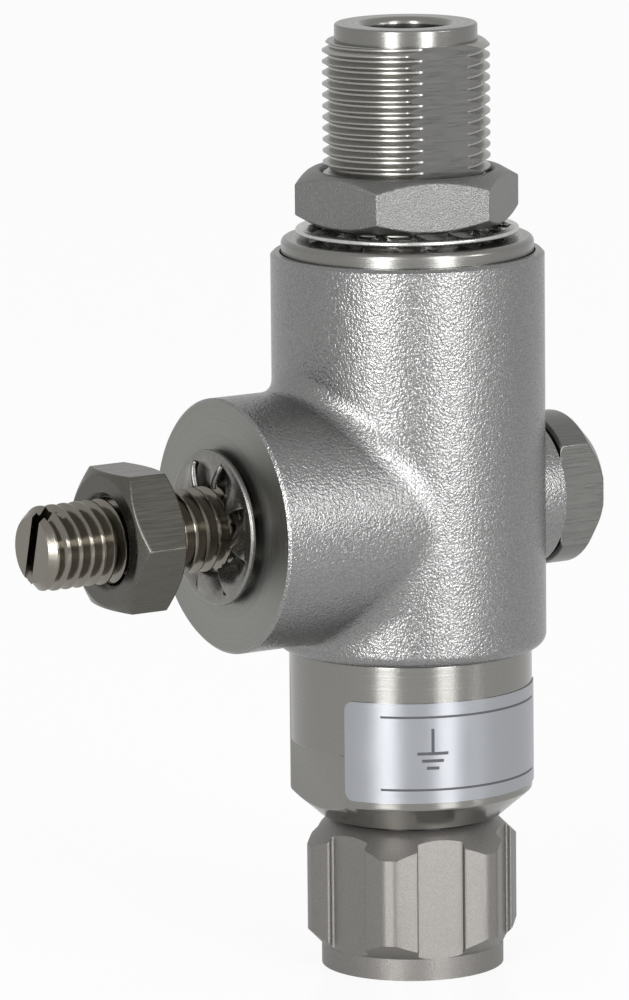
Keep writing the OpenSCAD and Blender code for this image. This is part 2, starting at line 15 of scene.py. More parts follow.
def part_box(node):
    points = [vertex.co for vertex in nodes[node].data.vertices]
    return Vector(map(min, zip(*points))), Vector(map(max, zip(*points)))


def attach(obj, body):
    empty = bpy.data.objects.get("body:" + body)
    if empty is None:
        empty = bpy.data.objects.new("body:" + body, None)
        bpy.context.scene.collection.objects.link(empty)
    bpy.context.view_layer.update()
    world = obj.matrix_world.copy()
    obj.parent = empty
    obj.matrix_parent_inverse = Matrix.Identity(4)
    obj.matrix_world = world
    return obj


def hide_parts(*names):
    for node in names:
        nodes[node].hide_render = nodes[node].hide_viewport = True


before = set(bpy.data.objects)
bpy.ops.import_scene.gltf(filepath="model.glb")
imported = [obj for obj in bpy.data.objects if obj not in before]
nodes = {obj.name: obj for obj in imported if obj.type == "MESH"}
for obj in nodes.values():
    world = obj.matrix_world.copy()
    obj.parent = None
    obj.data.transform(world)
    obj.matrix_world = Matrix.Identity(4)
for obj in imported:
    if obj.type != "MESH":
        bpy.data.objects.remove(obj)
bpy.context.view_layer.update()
MM = 0.001

# %% [markdown]
# ## Working by hand, from code
# An operator acts on everything that is selected, so each step first makes one piece the only selected
# one. Modifiers are applied at once, so that every finished piece is a plain mesh at the origin.

# %% Choose a piece, apply a modifier
MERGE = 0.0005 * MM


def clear_selection():
    if bpy.context.mode != "OBJECT":
        bpy.ops.object.mode_set(mode="OBJECT")
    bpy.ops.object.select_all(action="DESELECT")


def choose(piece):
    clear_selection()
    piece.select_set(True)
    bpy.context.view_layer.objects.active = piece


def edit(piece):
    choose(piece)
    bpy.ops.object.mode_set(mode="EDIT")
    bpy.ops.mesh.select_all(action="SELECT")


def apply(piece, kind, **settings):
    choose(piece)
    modifier = piece.modifiers.new(kind.title(), kind)
    for name, value in settings.items():
        setattr(modifier, name, value)
    bpy.ops.object.modifier_apply(modifier=modifier.name)


def combine(piece, tool, operation):
    apply(piece, "BOOLEAN", object=tool, operation=operation, solver="EXACT")
    bpy.data.objects.remove(tool)


def close_up(piece):
    edit(piece)
    bpy.ops.mesh.remove_doubles(threshold=MERGE)
    bpy.ops.mesh.normals_make_consistent(inside=False)
    clear_selection()


# %% [markdown]
# A machined edge is never razor sharp: a tiny bevel catches the light. After it, shading is smooth
# within each face group, and weighted normals keep the large flats flat.

# %% Soften edges and shade
SMOOTH_ANGLE = math.radians(35)
SHARP = math.radians(28)


def shade(piece):
    choose(piece)
    bpy.ops.object.shade_smooth_by_angle(angle=SMOOTH_ANGLE)
    apply(piece, "WEIGHTED_NORMAL", mode="FACE_AREA", weight=50, keep_sharp=True)


def soften(piece, width):
    apply(piece, "BEVEL", width=width * MM, segments=2, limit_method="ANGLE", angle_limit=SHARP,
          use_clamp_overlap=False)
    shade(piece)


# %% [markdown]
# ## Two axes
# Everything turned lies on one of two axes: the upright line, or the cross axis through the stud and
# the cap. Its height is read from the stud.

# %% The cross axis
stud_low, stud_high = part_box("earth_stud")
CROSS_Z = (stud_low.z + stud_high.z) / 2 / MM
STEPS = 96
print("cross axis at", round(CROSS_Z, 3), "mm")


def lift_to_cross_axis(piece):
    edit(piece)
    bpy.ops.transform.translate(value=(0, 0, CROSS_Z * MM))
    clear_selection()


# %% [markdown]
# A lathe piece starts as one vertex, which is extruded along the outline of half its section and spun
# round the axis. The outline is a list of (radius, place along the axis) in millimetres.

# %% Draw an outline and spin it
def outline_piece(name, outline, axis, closed=True):
    def place(radius, along):
        return Vector((radius, 0, along) if axis == "Z" else (along, 0, radius)) * MM

    points = [place(*point) for point in outline]
    clear_selection()
    bpy.ops.mesh.primitive_plane_add(size=MM)
    piece = bpy.context.object
    piece.name = piece.data.name = name
    edit(piece)
    bpy.ops.mesh.merge(type="CENTER")
    bpy.ops.transform.translate(value=points[0])
    for start, end in zip(points, points[1:] + (points[:1] if closed else [])):
        bpy.ops.mesh.extrude_region_move(TRANSFORM_OT_translate={"value": end - start})
    bpy.ops.mesh.select_all(action="SELECT")
    bpy.ops.mesh.remove_doubles(threshold=MERGE)
    clear_selection()
    return piece


def turned_piece(name, outline, axis, closed=True):
    piece = outline_piece(name, outline, axis, closed)
    edit(piece)
    bpy.ops.mesh.spin(steps=STEPS, angle=math.tau, center=(0, 0, 0),
                      axis=(0, 0, 1) if axis == "Z" else (1, 0, 0))
    close_up(piece)
    if axis == "X":
        lift_to_cross_axis(piece)
    return piece


def rounded_corner(radius, along, size, start, end, count=5):
    """Points of an arc round (radius, along), from one angle to another."""
    turn = [math.radians(start + (end - start) * i / (count - 1)) for i in range(count)]
    return [(radius + size * math.cos(a), along + size * math.sin(a)) for a in turn]


# %% [markdown]
# ## Screw threads
# A thread could be a stack of rings, but then its lines would not climb. Here the Screw modifier carries
# one pitch of the surface, crest and root, round the axis and lifts it by one pitch for each turn. Two
# plane cuts close the ends, and triangles keep the twisted faces flat for the cuts that follow.

# %% Make a threaded rod
THREAD_DEPTH = 0.613
CREST_SHARE = 0.125
FLANK = math.tan(math.radians(30))


def threaded_rod(name, axis, crest_r, pitch, start, end):
    depth = THREAD_DEPTH * pitch
    flat, slope = CREST_SHARE * pitch, depth * FLANK
    first = start - pitch
    rod = outline_piece(name, [
        (crest_r, first), (crest_r, first + flat), (crest_r - depth, first + flat + slope),
        (crest_r - depth, first + pitch - slope), (crest_r, first + pitch)], axis, closed=False)
    apply(rod, "SCREW", axis=axis, angle=math.tau, steps=STEPS, render_steps=STEPS,
          iterations=math.ceil((end - first) / pitch) + 1, screw_offset=pitch * MM,
          use_merge_vertices=True, merge_threshold=MERGE)
    along = Vector((0, 0, 1) if axis == "Z" else (1, 0, 0))
    for place, side in ((start, -1), (end, 1)):
        edit(rod)
        bpy.ops.mesh.remove_doubles(threshold=MERGE)
        bpy.ops.mesh.bisect(plane_co=along * place * MM, plane_no=along * side, use_fill=True,
                            clear_outer=True, threshold=MERGE / 10)
    edit(rod)
    bpy.ops.mesh.quads_convert_to_tris()
    close_up(rod)
    if axis == "X":
        lift_to_cross_axis(rod)
    return rod


# %% Make a cutting block
def block(name, low, high):
    """A box between two corners, in millimetres."""
    low, high = Vector(low) * MM, Vector(high) * MM
    clear_selection()
    bpy.ops.mesh.primitive_cube_add(size=1)
    tool = bpy.context.object
    tool.name = name
    edit(tool)
    bpy.ops.transform.resize(value=high - low)
    bpy.ops.transform.translate(value=(low + high) / 2)
    clear_selection()
    return tool


# %% [markdown]
# ## Finishes
# All the metal in sight is nickel plate or steel, so what tells the pieces apart is the surface: grit
# blasting, lathe marks, fine satin. Each finish is a bare metal whose relief, roughness and tone come
# from noise on Object coordinates. For lathe marks the noise is read by radius and height, so that the
# marks run round the axis on walls and faces alike.

# %% Start a material
def finish(name, colour, roughness, metallic=1.0):
    material = bpy.data.materials.new(name)
    material.use_nodes = True
    shader = material.node_tree.nodes["Principled BSDF"]
    shader.inputs["Base Color"].default_value = (*colour, 1)
    shader.inputs["Roughness"].default_value = roughness
    shader.inputs["Metallic"].default_value = metallic
    return material


def add(material, kind, **settings):
    node = material.node_tree.nodes.new("ShaderNode" + kind)
    for name, value in settings.items():
        setattr(node, name, value)
    return node


def link(material, source, target):
    material.node_tree.links.new(source, target)


def shader_of(material):
    return material.node_tree.nodes["Principled BSDF"]


# %% Place a pattern: all over, or round an axis
def plain_place(material, stretch=(1, 1, 1)):
    coords = add(material, "TexCoord")
    mapping = add(material, "Mapping")
    mapping.inputs["Scale"].default_value = stretch
    link(material, coords.outputs["Object"], mapping.inputs["Vector"])
    return mapping.outputs["Vector"]


def turned_place(material, axis):
    coords = add(material, "TexCoord")
    centre = add(material, "Mapping")
    centre.inputs["Location"].default_value = (0, 0, 0 if axis == "Z" else -CROSS_Z * MM)
    across = add(material, "VectorMath", operation="MULTIPLY")
    across.inputs[1].default_value = (1, 1, 0) if axis == "Z" else (0, 1, 1)
    radius = add(material, "VectorMath", operation="LENGTH")
    parts = add(material, "SeparateXYZ")
    place = add(material, "CombineXYZ")
    link(material, coords.outputs["Object"], centre.inputs["Vector"])
    link(material, centre.outputs["Vector"], across.inputs[0])
    link(material, across.outputs["Vector"], radius.inputs[0])
    link(material, centre.outputs["Vector"], parts.inputs["Vector"])
    link(material, radius.outputs["Value"], place.inputs["X"])
    link(material, parts.outputs[axis], place.inputs["Y"])
    return place.outputs["Vector"]


# %% Grain, bump and tone
NOISE_LOW, NOISE_HIGH = 0.3, 0.7
NOISE_ROUGHNESS = 0.6


def grain(material, place, size, detail=2.0):
    noise = add(material, "TexNoise")
    noise.inputs["Scale"].default_value = 1 / (size * MM)
    noise.inputs["Detail"].default_value = detail
    noise.inputs["Roughness"].default_value = NOISE_ROUGHNESS
    link(material, place, noise.inputs["Vector"])
    return noise.outputs["Fac"]


def bump(material, height, depth):
    """Adds relief of a depth in millimetres over what the shader already has."""
    node = add(material, "Bump")
    node.inputs["Distance"].default_value = depth * MM
    node.inputs["Strength"].default_value = 1
    normal = shader_of(material).inputs["Normal"]
    if normal.is_linked:
        link(material, normal.links[0].from_socket, node.inputs["Normal"])
    link(material, height, node.inputs["Height"])
    link(material, node.outputs["Normal"], normal)


def vary(material, fac, socket, low, high):
    """Lets a shader input follow a pattern between two numbers or two colours."""
    if isinstance(low, tuple):
        ramp = add(material, "ValToRGB")
        for stop, colour in zip(ramp.color_ramp.elements, (low, high)):
            stop.color = (*colour, 1)
        ramp.color_ramp.elements[0].position = NOISE_LOW
        ramp.color_ramp.elements[1].position = NOISE_HIGH
        link(material, fac, ramp.inputs["Fac"])
        link(material, ramp.outputs["Color"], shader_of(material).inputs[socket])
        return
    spread = add(material, "MapRange")
    spread.inputs["From Min"].default_value = NOISE_LOW
    spread.inputs["From Max"].default_value = NOISE_HIGH
    spread.inputs["To Min"].default_value = low
    spread.inputs["To Max"].default_value = high
    link(material, fac, spread.inputs["Value"])
    link(material, spread.outputs["Result"], shader_of(material).inputs[socket])


# %% [markdown]
# The body is blasted with coarse grit, so it glitters: facets about a quarter of a millimetre wide tip
# the mirror this way and that. A second, finer and much shallower noise keeps them from looking like
# smooth lumps. Lathe marks and brush strokes are noise drawn out along the way of the tool, and soft
# parts only have a slight mottle.

# %% Blasted, turned and brushed metal, and plastic
FINE_SHARE, FINE_DEPTH = 0.35, 0.04
DUST, DUST_DEPTH = 0.12, 0.4
MOTTLE, MOTTLE_DEPTH = 0.6, 0.01


def tinted(colour, share):
    return tuple(c * share for c in colour)


def blasted(name, colour, size, depth, roughness, contrast=0.08):
    material = finish(name, colour, roughness)
    place = plain_place(material)
    coarse = grain(material, place, size, detail=1)
    fine = grain(material, place, size * FINE_SHARE, detail=1)
    bump(material, coarse, depth)
    bump(material, fine, depth * FINE_DEPTH)
    vary(material, fine, "Roughness", roughness - 0.05, roughness + 0.05)
    vary(material, coarse, "Base Color", tinted(colour, 1 - contrast), tinted(colour, 1 + contrast))
    return material


def turned(name, colour, axis, roughness, size=0.09, depth=0.006):
    material = finish(name, colour, roughness)
    marks = grain(material, turned_place(material, axis), size)
    dust = grain(material, plain_place(material), DUST)
    bump(material, marks, depth)
    bump(material, dust, depth * DUST_DEPTH)
    vary(material, marks, "Roughness", roughness - 0.05, roughness + 0.08)
    vary(material, dust, "Base Color", tinted(colour, 0.93), tinted(colour, 1.05))
    return material


def brushed(name, colour, stretch, roughness, size=0.16, depth=0.006):
    material = finish(name, colour, roughness)
    strokes = grain(material, plain_place(material, stretch), size)
    bump(material, strokes, depth)
    vary(material, strokes, "Roughness", roughness - 0.05, roughness + 0.1)
    vary(material, strokes, "Base Color", tinted(colour, 0.9), tinted(colour, 1.1))
    return material


def smooth_plastic(name, colour, roughness):
    material = finish(name, colour, roughness, metallic=0)
    mottle = grain(material, plain_place(material), MOTTLE, detail=1)
    bump(material, mottle, MOTTLE_DEPTH)
    vary(material, mottle, "Base Color", tinted(colour, 0.92), colour)
    vary(material, mottle, "Roughness", roughness - 0.05, roughness + 0.08)
    return material


# %% [markdown]
# Each metal gets its own tone: the earth nut is the darkest, the stud is warm and the label bluish.
# Three tones are painted light and shade: the panel washer is the same spring steel as the earth
# washer, painted brighter against the nut's shade over its teeth; the jack's thread faces are painted
# lighter than its lip against the shade in their valleys; and its milled flat is painted darker, as
# painted shade. Sizes and depths of the marks are in millimetres.

# %% Mix the finishes
NICKEL = (0.25, 0.246, 0.233)
LABEL_MOTTLE = 6
body_metal = blasted("blasted_body", (0.245, 0.246, 0.243), size=0.23, depth=0.08, roughness=0.27,
                     contrast=0.14)
boss_face_metal = turned("boss_face", (0.27, 0.27, 0.255), "X", 0.36, size=0.2, depth=0.02)
jack_metal = turned("jack_nickel", (0.235, 0.232, 0.22), "Z", 0.22)
# Painted light: the thread faces are the jack's own nickel, painted lighter to stand in for light in the
# shade of their valleys.
thread_metal_painted_light = turned("thread_nickel_painted_light", (0.36, 0.355, 0.337), "Z", 0.27)
# Painted shade: the milled flat is the jack's own nickel, painted darker than the rest of the jack.
milled_metal_painted_shade = brushed("milled_flat_painted_shade", (0.15, 0.149, 0.145), (0.03, 0.03, 1), 0.3, size=0.1, depth=0.003)
sleeve_metal = turned("sleeve_nickel", NICKEL, "Z", 0.17, size=0.2, depth=0.012)
nut_metal = blasted("panel_nut_nickel", (0.21, 0.21, 0.206), size=0.14, depth=0.1, roughness=0.42)
coupling_metal = blasted("coupling_satin", (0.235, 0.226, 0.215), size=0.16, depth=0.014, roughness=0.46)
stud_metal = turned("stud_stainless", (0.22, 0.205, 0.178), "X", 0.13)
earth_nut_metal = brushed("earth_nut_stainless", (0.115, 0.11, 0.097), (0.04, 1, 1), 0.26)
cap_metal = brushed("cap_stainless", (0.175, 0.175, 0.167), (0.05, 1, 1), 0.28)
washer_metal = blasted("spring_steel", (0.23, 0.226, 0.214), size=0.5, depth=0.01, roughness=0.3)
# Painted light: the same spring steel, painted brighter to lift the panel washer's teeth out of the
# nut's shade.
painted_light_washer_metal = blasted("spring_steel_painted_light", (0.55, 0.545, 0.53), size=0.5, depth=0.01,
                              roughness=0.28)
gold = turned("gold_plate", (0.83, 0.62, 0.27), "Z", 0.2)
insulator_white = smooth_plastic("insulator_white", (0.86, 0.86, 0.83), 0.42)
gasket_red = smooth_plastic("gasket_red", (0.42, 0.06, 0.04), 0.5)
seal_black = smooth_plastic("seal_black", (0.02, 0.02, 0.02), 0.6)
ceramic_white = smooth_plastic("ceramic_white", (0.82, 0.8, 0.74), 0.3)
electrode_metal = turned("electrode_nickel", NICKEL, "X", 0.25)
label_film = finish("label_film", (0.31, 0.32, 0.34), 0.3, metallic=0.8)
vary(label_film, grain(label_film, plain_place(label_film), LABEL_MOTTLE), "Roughness", 0.28, 0.33)
label_ink = smooth_plastic("label_ink", (0.05, 0.05, 0.06), 0.5)
print("finishes:", len(bpy.data.materials))


# %% Dress a finished piece
def dress(piece, body, material, replaces=()):
    """Gives a finished piece its metal, its body and the nodes that it stands for."""
    piece.data.materials.clear()
    piece.data.materials.append(material)
    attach(piece, body)
    if replaces:
        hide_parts(*replaces)
    print(piece.name, len(piece.data.polygons), "faces")


# %% [markdown]
# ## The jack
# The jack is one turned piece: a collar that sits in the body, a 5/8 inch thread with 24 turns per inch
# and a plain lip round the mouth. A flat is milled along the thread. A blank with a chamfered end and
# the flat trims the threaded rod to a sleeve, which leaves the zigzag edges that a real flat has, and
# the sleeve is joined to the turned core.

# %% Trim the jack's thread
jack_low, jack_high = (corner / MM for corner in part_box("jack_shell"))
JACK_PITCH = 25.4 / 24
JACK_CREST = 15.875 / 2
SEAT_Z = jack_low.z + 7.5
COLLAR_TOP = SEAT_Z + 2.0
LIP_H = 1.6
THREAD_TOP = jack_high.z - LIP_H
RUN_OUT = 0.3
CHAMFER = 0.5
FLAT_Y = 6.85
CLEAR = 1.0
WALL_IN = 6.3
CUT_REACH, CUT_TOP = 20, 120
thread = threaded_rod("jack_thread", "Z", JACK_CREST, JACK_PITCH, COLLAR_TOP + RUN_OUT, THREAD_TOP)
blank = turned_piece("jack_blank", [
    (WALL_IN, COLLAR_TOP - CLEAR), (JACK_CREST + CLEAR, COLLAR_TOP - CLEAR),
    (JACK_CREST + CLEAR, THREAD_TOP - CHAMFER - CLEAR),
    (JACK_CREST - CHAMFER - CLEAR, THREAD_TOP + CLEAR), (WALL_IN, THREAD_TOP + CLEAR)], "Z")
flat_cutter = block("flat_cutter", (-CUT_REACH, -CUT_REACH, 0), (CUT_REACH, -FLAT_Y, CUT_TOP))
combine(blank, flat_cutter, "DIFFERENCE")
combine(thread, blank, "INTERSECT")

# %% Turn its core and join them
JACK_BORE = 3.5
SPIGOT_R = 7.7
COLLAR_R = jack_high.x
LIP_R = 6.77
CORE_R = 6.6
MOUTH_R = 4.05
MOUTH_DEPTH = 9.2
MOUTH_ENTRY = 0.7
EDGE = 0.25
COLLAR_EDGE = 0.55
THREAD_PAINTED_LIGHT_SLOT, FLAT_PAINTED_SHADE_SLOT = 1, 2
FACING, NEAR = 0.99, 0.02
jack = turned_piece("jack_with_thread", [
    (JACK_BORE, jack_low.z), (SPIGOT_R, jack_low.z), (SPIGOT_R, SEAT_Z), (COLLAR_R, SEAT_Z),
    *rounded_corner(COLLAR_R - COLLAR_EDGE, COLLAR_TOP - COLLAR_EDGE, COLLAR_EDGE, 0, 90, count=7),
    (CORE_R, COLLAR_TOP), (CORE_R, THREAD_TOP - EDGE), (LIP_R, THREAD_TOP - EDGE / 2),
    *rounded_corner(LIP_R - EDGE, jack_high.z - EDGE, EDGE, 0, 90),
    *rounded_corner(MOUTH_R + MOUTH_ENTRY, jack_high.z - MOUTH_ENTRY, MOUTH_ENTRY, 90, 180, count=7),
    (MOUTH_R, jack_high.z - MOUTH_DEPTH), (JACK_BORE, jack_high.z - MOUTH_DEPTH)], "Z")
combine(jack, thread, "UNION")
shade(jack)
dress(jack, "arrestor", jack_metal, ["jack_shell"])
# The thread faces get the lighter nickel as painted light, and the milled flat the darker one as painted
# shade.
for material in (thread_metal_painted_light, milled_metal_painted_shade):
    jack.data.materials.append(material)
for face in jack.data.polygons:
    if face.normal.y < -FACING and abs(face.center.y / MM + FLAT_Y) < NEAR:
        face.material_index = FLAT_PAINTED_SHADE_SLOT
    elif COLLAR_TOP + RUN_OUT < face.center.z / MM < THREAD_TOP and face.center.xy.length / MM > WALL_IN:
        face.material_index = THREAD_PAINTED_LIGHT_SLOT

# %% [markdown]
# ## The earth stud
# The stud is a length of 8 mm rod with a coarse thread all along, a chamfered tip and a slot for a
# driver. It is trimmed in the same way, on the cross axis.

# %% Thread and slot the stud
STUD_CREST = 4.0
STUD_PITCH = 1.25
STUD_TIP, STUD_END = stud_low.x / MM, stud_high.x / MM
STUD_CHAMFER = 0.9
SLOT_W, SLOT_DEPTH, SLOT_LEAN = 1.3, 1.7, math.radians(15)
SAW_REACH = 10
stud = threaded_rod("threaded_stud", "X", STUD_CREST, STUD_PITCH, STUD_TIP, STUD_END)
blank = turned_piece("stud_blank", [
    (0, STUD_END + CLEAR), (STUD_CREST + CLEAR, STUD_END + CLEAR),
    (STUD_CREST + CLEAR, STUD_TIP + STUD_CHAMFER + CLEAR),
    (STUD_CREST - STUD_CHAMFER - CLEAR, STUD_TIP - CLEAR), (0, STUD_TIP - CLEAR)], "X", closed=False)
saw = block("saw_cut", (STUD_TIP - 2 * CLEAR, -SLOT_W / 2, -SAW_REACH),
            (STUD_TIP + SLOT_DEPTH, SLOT_W / 2, SAW_REACH))
saw.data.transform(Matrix.Rotation(SLOT_LEAN, 4, "X"))
lift_to_cross_axis(saw)
combine(blank, saw, "DIFFERENCE")
combine(stud, blank, "INTERSECT")
shade(stud)
dress(stud, "arrestor", stud_metal, ["earth_stud"])

# %% [markdown]
# ## Lock washers
# Both washers are spring steel with inner teeth, each twisted about its own radius so that its corners
# bite. One sector of rim is spun, its tooth is extruded inwards and twisted a little at each step, and
# the sector is then copied round the axis and given its thickness.

# %% Make a washer with twisted teeth
RIM_STEPS = 20
ANGLE_PLAY = 1e-4
TOOTH_BEVEL, TOOTH_SHARP = 0.25, math.radians(50)
# Each step of a tooth: its share of the length, its share of the twist, and its taper.
TOOTH_STEPS = ((0.15, 0.35, 0.95), (0.3, 0.3, 0.85), (0.3, 0.2, 0.85), (0.25, 0.15, 0.88))


def lock_washer(name, node, axis, rim, tip_r, thickness, teeth, tooth_share, twist):
    low, high = (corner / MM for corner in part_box(node))
    outer_r = (high.y - low.y) / 2
    root_r = outer_r - rim
    sector = math.tau / teeth
    washer = outline_piece(name, [(outer_r, 0), (root_r, 0)], "Z", closed=False)
    washer.data.transform(Matrix.Rotation(sector / 2, 4, "Z"))
    edit(washer)
    bpy.ops.mesh.spin(steps=RIM_STEPS, angle=sector, center=(0, 0, 0), axis=(0, 0, 1))
    close_up(washer)
    half = sector / 2 * tooth_share + ANGLE_PLAY
    for vertex in washer.data.vertices:
        angle = math.atan2(vertex.co.y, vertex.co.x)
        vertex.select = abs(angle) < half and vertex.co.length < (root_r + rim / 2) * MM
    inner = {v.index for v in washer.data.vertices if v.select}
    for edge in washer.data.edges:
        edge.select = set(edge.vertices) <= inner
    for face in washer.data.polygons:
        face.select = False
    bpy.context.view_layer.objects.active = washer
    bpy.ops.object.mode_set(mode="EDIT")
    bpy.ops.mesh.select_mode(type="EDGE")
    for run, share, taper in TOOTH_STEPS:
        step = (root_r - tip_r) * run * MM
        bpy.ops.mesh.extrude_region_move(TRANSFORM_OT_translate={"value": (-step, 0, 0)})
        bpy.ops.transform.rotate(value=twist * share, orient_axis="X", center_override=(0, 0, 0))
        bpy.ops.transform.resize(value=(1, taper, taper), center_override=(0, 0, 0))
    bpy.ops.mesh.select_mode(type="VERT")
    bpy.ops.mesh.select_all(action="SELECT")
    bpy.ops.mesh.spin(steps=teeth - 1, dupli=True, angle=math.tau - sector,
                      center=(0, 0, 0), axis=(0, 0, 1))
    close_up(washer)
    apply(washer, "SOLIDIFY", thickness=thickness * MM, offset=0)
    apply(washer, "BEVEL", width=thickness * TOOTH_BEVEL * MM, segments=1, limit_method="ANGLE",
          angle_limit=TOOTH_SHARP)
    apply(washer, "SUBSURF", levels=2, render_levels=2)
    shade(washer)
    if axis == "X":
        washer.data.transform(Matrix.Rotation(math.radians(-90), 4, "Y"))
    edit(washer)
    bpy.ops.transform.translate(value=(low + high) / 2 * MM)
    clear_selection()
    return washer


panel_washer = lock_washer("panel_lock_washer", "panel_washer", "Z", rim=1.0, tip_r=8.12,
                           thickness=0.5, teeth=16, tooth_share=0.8, twist=math.radians(27))
# The panel washer gets the painted-light copy of the spring steel.
dress(panel_washer, "arrestor", painted_light_washer_metal, ["panel_washer"])
earth_washer = lock_washer("earth_lock_washer", "earth_washer", "X", rim=0.9, tip_r=4.18,
                           thickness=0.7, teeth=8, tooth_share=0.9, twist=math.radians(28))
dress(earth_washer, "arrestor", washer_metal, ["earth_washer"])

# %% [markdown]
# ## Pieces that keep their solid's shape
# The body, the nuts, the cap and the sleeve already have the right shape, so each is a copy of its
# solid. Its loose triangles are merged and flat ones are joined into clean faces. The edges of the
# nuts, the cap and the sleeve are softened; the body is only shaded.

# %% Copy a solid with clean faces
FLAT_LIMIT = math.radians(0.4)


def clean_copy(node, name):
    clear_selection()
    piece = bpy.data.objects.new(name, nodes[node].data.copy())
    bpy.context.scene.collection.objects.link(piece)
    choose(piece)
    bpy.ops.mesh.customdata_custom_splitnormals_clear()
    edit(piece)
    bpy.ops.mesh.remove_doubles(threshold=MERGE)
    bpy.ops.mesh.dissolve_limited(angle_limit=FLAT_LIMIT)
    clear_selection()
    return piece


# %% [markdown]
# The body is blasted all over, apart from the face of the earth boss, which is turned clean after
# blasting so that the lug makes good contact.

# %% Dress the body
BOSS_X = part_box("main_body")[0].x / MM
BOSS_SKIN = 0.05
body = clean_copy("main_body", "blasted_barrel")
shade(body)
dress(body, "arrestor", body_metal, ["main_body"])
body.data.materials.append(boss_face_metal)
for face in body.data.polygons:
    if face.normal.x < -FACING and face.center.x < (BOSS_X + BOSS_SKIN) * MM:
        face.material_index = 1

# %% Dress the nuts, the cap and the sleeve
panel_nut = clean_copy("panel_nut", "panel_hexagon_nut")
soften(panel_nut, 0.12)
dress(panel_nut, "panel_nut", nut_metal, ["panel_nut"])
earth_nut = clean_copy("earth_nut", "earth_hexagon_nut")
soften(earth_nut, 0.13)
dress(earth_nut, "earth_nut", earth_nut_metal, ["earth_nut"])
cap = clean_copy("tube_cap", "two_flat_screw_cap")
soften(cap, 0.1)
dress(cap, "screw_cap", cap_metal, ["tube_cap"])
sleeve = clean_copy("plug_body", "plug_sleeve")
soften(sleeve, 0.12)
dress(sleeve, "arrestor", sleeve_metal, ["plug_body"])

# %% [markdown]
# The coupling nut turns freely on the sleeve and screws onto the next connector, so it has the same
# thread as the jack, on the inside. A rod like the jack's, a little larger, cuts it as a tap would.
# Only the long upright edges of its grip are rounded: the short ones at its cones are too close to each
# other.

# %% Round the upright edges of a piece
UPRIGHT = 0.999


def round_upright_edges(piece, width, shortest):
    edit(piece)
    bpy.ops.mesh.select_all(action="DESELECT")
    bpy.ops.mesh.select_mode(type="EDGE")
    bpy.ops.mesh.edges_select_sharp(sharpness=SHARP)
    bpy.ops.object.mode_set(mode="OBJECT")
    points = piece.data.vertices
    for point in points:
        point.select = False
    for face in piece.data.polygons:
        face.select = False
    for edge in piece.data.edges:
        run = points[edge.vertices[1]].co - points[edge.vertices[0]].co
        edge.select = edge.select and run.length > shortest * MM and abs(run.z) > UPRIGHT * run.length
    bpy.ops.object.mode_set(mode="EDIT")
    bpy.ops.mesh.bevel(offset=width * MM, segments=3, affect="EDGES")
    bpy.ops.mesh.select_mode(type="VERT")
    clear_selection()


# %% Dress the coupling nut and cut its thread
THREAD_PLAY = 0.08
TAP_START, TAP_END = 1.2, 8.6
GRIP_EDGE, GRIP_LENGTH = 0.2, 5
coupling_nut = clean_copy("coupling_nut", "swivel_coupling_nut")
round_upright_edges(coupling_nut, GRIP_EDGE, shortest=GRIP_LENGTH)
print("coupling nut with round edges:", len(coupling_nut.data.polygons), "faces")
tap = threaded_rod("coupling_tap", "Z", JACK_CREST + THREAD_PLAY, JACK_PITCH, TAP_START, TAP_END)
combine(coupling_nut, tap, "DIFFERENCE")
shade(coupling_nut)
dress(coupling_nut, "coupling_nut", coupling_metal, ["coupling_nut"])

# %% [markdown]
# ## The label
# A thin metallised label is wrapped round the sleeve between its two flats. It starts as a flat plate
# with rounded corners, is sliced into narrow strips so that it can bend, and is wrapped by turning
# each point's place along the plate into an angle. Its print is two plain rules and the earth symbol.

# %% Make flat plates and wrap them
label_low, label_high = (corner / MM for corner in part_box("rating_label"))
LABEL_R = -label_low.y
LABEL_T = 0.12
LABEL_CORNER = 0.9
LABEL_HALF = math.asin(label_high.x / LABEL_R)
LABEL_MID = (label_low.z + label_high.z) / 2
SLICE = 0.45


def flat_plate(name, centre, width, height, thickness, corner=0.0):
    """A plate in the XZ plane that faces -Y, with its slices ready to bend."""
    clear_selection()
    bpy.ops.mesh.primitive_plane_add(size=1)
    plate = bpy.context.object
    plate.name = plate.data.name = name
    edit(plate)
    bpy.ops.transform.resize(value=(width * MM, height * MM, 1))
    if corner:
        bpy.ops.mesh.bevel(offset=corner * MM, segments=6, affect="VERTICES")
    clear_selection()
    plate.data.transform(Matrix.Translation((centre[0] * MM, 0, centre[1] * MM))
                         @ Matrix.Rotation(math.radians(90), 4, "X"))
    count = max(1, round(width / SLICE))
    for i in range(1, count):
        edit(plate)
        x = (centre[0] - width / 2 + width * i / count) * MM
        bpy.ops.mesh.bisect(plane_co=(x, 0, 0), plane_no=(1, 0, 0))
    edit(plate)
    bpy.ops.mesh.extrude_region_move(TRANSFORM_OT_translate={"value": (0, -thickness * MM, 0)})
    close_up(plate)
    return plate


def wrap(plate, radius):
    for vertex in plate.data.vertices:
        angle = vertex.co.x / (radius * MM)
        reach = radius * MM - vertex.co.y
        vertex.co = (reach * math.sin(angle), -reach * math.cos(angle), vertex.co.z)


# %% Wrap the label and its print
label = flat_plate("wrapped_label", (0, LABEL_MID), 2 * LABEL_HALF * LABEL_R, label_high.z - label_low.z,
                   LABEL_T, corner=LABEL_CORNER)
wrap(label, LABEL_R - LABEL_T)
shade(label)
dress(label, "arrestor", label_film, ["rating_label"])

